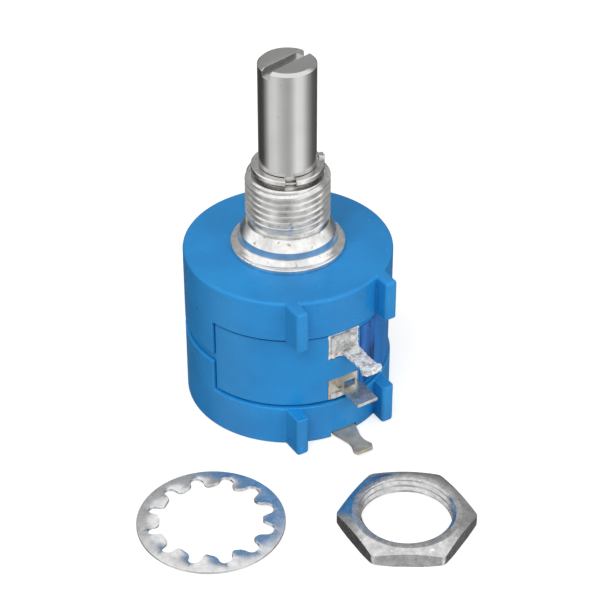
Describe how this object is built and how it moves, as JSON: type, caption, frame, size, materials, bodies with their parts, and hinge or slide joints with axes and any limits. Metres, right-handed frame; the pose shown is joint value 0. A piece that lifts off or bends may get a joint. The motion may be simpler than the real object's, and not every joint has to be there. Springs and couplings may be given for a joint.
{
  "type": "precision potentiometer",
  "caption": "Multi-turn wirewound precision potentiometer: round blue body, threaded bushing, slotted shaft, side solder lugs, loose nut and lock washer.",
  "frame": {"origin": "centre of the rear face, on the shaft axis", "axes": "+Z along the shaft, out of the bushing; the solder lugs point towards -Y"},
  "size_m": [0.0375, 0.0447, 0.04],
  "materials": {
    "blue_moulding": "semi-gloss moulded blue",
    "bright_plating": "bright nickel plating",
    "shaft_steel": "drawn and polished steel",
    "spring_steel": "zinc-plated spring steel",
    "tinned_brass": "dull tin plate on brass",
    "solder": "rough bright solder",
    "sealant": "smeared, uneven gloss",
    "element_winding": "fine close winding",
    "spring_brass": "satin",
    "hub_moulding": "glass-filled moulding",
    "washer_polymer": "smooth low-friction polymer"
  },
  "bodies": {
    "housing": {"front_cap": "blue_moulding", "rear_cap": "blue_moulding", "barrel": "blue_moulding", "threaded_bushing": "bright_plating", "resistance_element": "element_winding", "front_end_clip": "tinned_brass", "rear_end_clip": "tinned_brass", "front_terminal": "tinned_brass", "rear_terminal": "tinned_brass", "wiper_terminal": "tinned_brass", "front_solder_joint": "solder", "rear_solder_joint": "solder", "terminal_sealant": "sealant", "collector_spring": "spring_brass", "terminal_rivet": "tinned_brass"},
    "rotor": {"shaft": "shaft_steel", "retaining_clip": "spring_steel", "rotor_hub": "hub_moulding", "collector_rail": "spring_brass", "slip_ring": "spring_brass", "thrust_washer": "washer_polymer"},
    "carriage": {"carriage_block": "hub_moulding", "wiper_contact": "spring_brass", "collector_brush": "spring_brass", "carriage_rivet": "spring_brass"},
    "lock_washer": {"lock_washer": "spring_steel"},
    "mounting_nut": {"mounting_nut": "bright_plating"}
  },
  "joints": [
    {"name": "shaft_turn", "type": "hinge", "parent": "housing", "child": "rotor", "pos_m": [0, 0, 0.02], "axis": [0, 0, -1], "range_deg": [0, 3600]},
    {"name": "carriage_travel", "type": "slide", "parent": "rotor", "child": "carriage", "axis": [0, 0, -1], "range_m": [0, 0.012]},
    {"name": "nut_lift", "type": "slide", "parent": "housing", "child": "mounting_nut", "axis": [0, 0, 1], "range_m": [0, 0.03]},
    {"name": "washer_lift", "type": "slide", "parent": "housing", "child": "lock_washer", "axis": [0, 0, 1], "range_m": [0, 0.03]}
  ],
  "couplings": [
    {"joint": "carriage_travel", "follows": "shaft_turn", "m_per_rad": 0.00019098}
  ]
}
